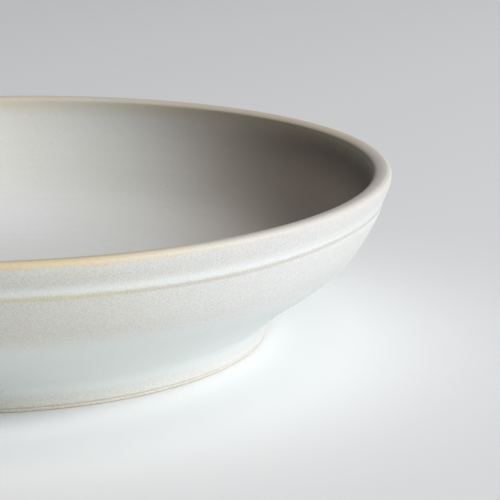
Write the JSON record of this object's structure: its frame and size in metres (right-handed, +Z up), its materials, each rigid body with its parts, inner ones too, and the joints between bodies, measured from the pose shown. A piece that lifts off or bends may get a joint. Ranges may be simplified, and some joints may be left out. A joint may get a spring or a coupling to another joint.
{
  "type": "footed serving bowl",
  "caption": "Wide, shallow round stoneware serving bowl with a rounded lip, a plain band under the rim and a low, wide foot ring.",
  "frame": {"origin": "centre of the foot's resting face, on the table", "axes": "+Z up, along the bowl's axis of rotation"},
  "size_m": [0.3, 0.3, 0.064],
  "materials": {
    "stoneware_clay": "bare fired clay, matte",
    "satin_white_glaze": "satin-matte white glaze that breaks tan on edges"
  },
  "bodies": {
    "root": {"bowl_body": "stoneware_clay", "foot_ring": "stoneware_clay", "inside_glaze": "satin_white_glaze", "outside_glaze": "satin_white_glaze", "foot_well_glaze": "satin_white_glaze"}
  },
  "joints": []
}
